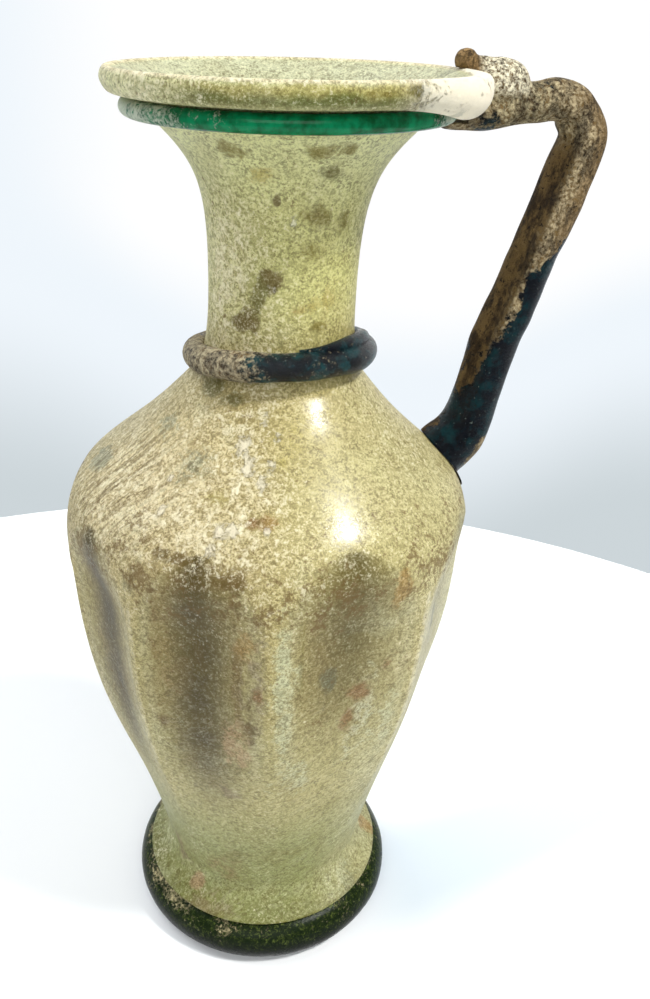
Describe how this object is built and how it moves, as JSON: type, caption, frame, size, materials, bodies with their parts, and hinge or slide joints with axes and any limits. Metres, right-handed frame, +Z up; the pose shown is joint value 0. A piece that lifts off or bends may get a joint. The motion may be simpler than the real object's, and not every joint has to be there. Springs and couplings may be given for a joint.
{
  "type": "ribbed glass jug",
  "caption": "Tall ribbed glass jug with a funnel mouth, a thread under the rim, a coil round the neck, a ring foot and an angular handle with a thumb rest.",
  "frame": {"origin": "middle of the bounding box's base, on the surface that the foot ring stands on; the body's own axis is 9.5 mm from it towards -X", "axes": "+Z up along the body's axis, +X towards the handle"},
  "size_m": [0.0982, 0.0776, 0.1839],
  "materials": {
    "pale_glass": "weathered, with a flaky crust",
    "dark_green_glass": "glossy, pitted",
    "weathered_dark_glass": "weathered crust over dark blue-green glass",
    "teal_glass": "glossy"
  },
  "bodies": {
    "root": {"body": "pale_glass", "foot_ring": "dark_green_glass", "neck_coil": "weathered_dark_glass", "rim_thread": "teal_glass", "handle": "weathered_dark_glass"}
  },
  "joints": []
}
